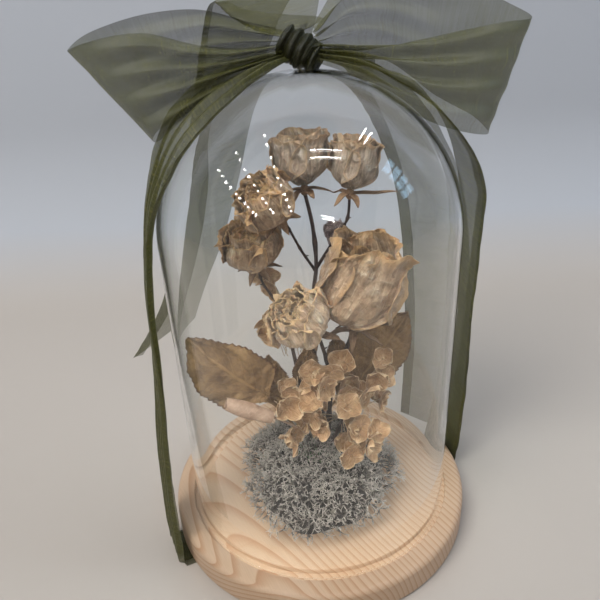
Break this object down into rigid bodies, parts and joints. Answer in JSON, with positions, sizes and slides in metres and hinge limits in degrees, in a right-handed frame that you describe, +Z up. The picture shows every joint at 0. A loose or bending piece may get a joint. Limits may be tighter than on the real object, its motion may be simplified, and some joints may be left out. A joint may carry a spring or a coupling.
{
  "type": "bell jar dome",
  "caption": "Glass bell jar on a turned pine base, tied with a sheer ribbon bow, holding dried roses, leaves and hydrangea set in grey moss.",
  "frame": {"origin": "centre of the underside, on the surface that the jar stands on", "axes": "+Z up along the glass's axis, -Y towards the front of the flower arrangement, +X to the right seen from the front"},
  "size_m": [0.227, 0.175, 0.2915],
  "materials": {
    "pine": "satin, turned, open grain",
    "clear_glass": "clear, fire polished",
    "organza": "sheer weave with woven hem",
    "floral_foam": "dry foam, crumbly",
    "reindeer_moss": "dry, matte, finely branched",
    "rose_petal": "dried petal, wrinkled, matte",
    "cream_petal": "dried petal, wrinkled, matte",
    "sepal": "dried sepal, curled, matte",
    "dried_leaf": "dried leaf, veined, matte",
    "hydrangea_bract": "dried bract, thin, veined",
    "dark_stem": "dried twig, matte"
  },
  "bodies": {
    "base": {"floral_foam_block": "floral_foam", "hydrangea_floret_01": "hydrangea_bract", "hydrangea_floret_02": "hydrangea_bract", "hydrangea_floret_03": "hydrangea_bract", "hydrangea_floret_04": "hydrangea_bract", "hydrangea_floret_05": "hydrangea_bract", "hydrangea_floret_06": "hydrangea_bract", "hydrangea_floret_07": "hydrangea_bract", "hydrangea_floret_08": "hydrangea_bract", "hydrangea_floret_09": "hydrangea_bract", "hydrangea_floret_10": "hydrangea_bract", "hydrangea_floret_11": "hydrangea_bract", "hydrangea_floret_12": "hydrangea_bract", "hydrangea_floret_13": "hydrangea_bract", "hydrangea_floret_14": "hydrangea_bract", "hydrangea_floret_15": "hydrangea_bract", "hydrangea_floret_16": "hydrangea_bract", "hydrangea_stalk_left": "dark_stem", "hydrangea_stalk_right": "dark_stem", "leaf_left_large": "dried_leaf", "leaf_right_large": "dried_leaf", "leaf_rolled": "dried_leaf", "leaf_small": "dried_leaf", "moss_cushion": "reindeer_moss", "ribbon_underpass": "organza", "rose_cup_branch": "dark_stem", "rose_cup_calyx": "sepal", "rose_cup_petals": "rose_petal", "rose_front_calyx": "sepal", "rose_front_petals": "cream_petal", "rose_front_stem": "dark_stem", "rose_large_calyx": "sepal", "rose_large_petals": "rose_petal", "rose_large_stem": "dark_stem", "rose_left_branch": "dark_stem", "rose_left_calyx": "sepal", "rose_left_petals": "rose_petal", "rose_spray_stem": "dark_stem", "rose_top_calyx": "sepal", "rose_top_petals": "rose_petal", "rose_upper_left_branch": "dark_stem", "rose_upper_left_calyx": "sepal", "rose_upper_left_petals": "rose_petal", "wood_base": "pine"},
    "cover": {"glass_dome": "clear_glass", "ribbon_knot": "organza", "ribbon_loop_left": "organza", "ribbon_loop_right": "organza", "ribbon_run_left": "organza", "ribbon_run_right": "organza", "ribbon_tail_left": "organza", "ribbon_tail_right": "organza"}
  },
  "joints": [
    {"name": "dome_lift", "type": "slide", "parent": "base", "child": "cover", "axis": [0, 0, 1], "range_m": [0, 0.26]}
  ]
}
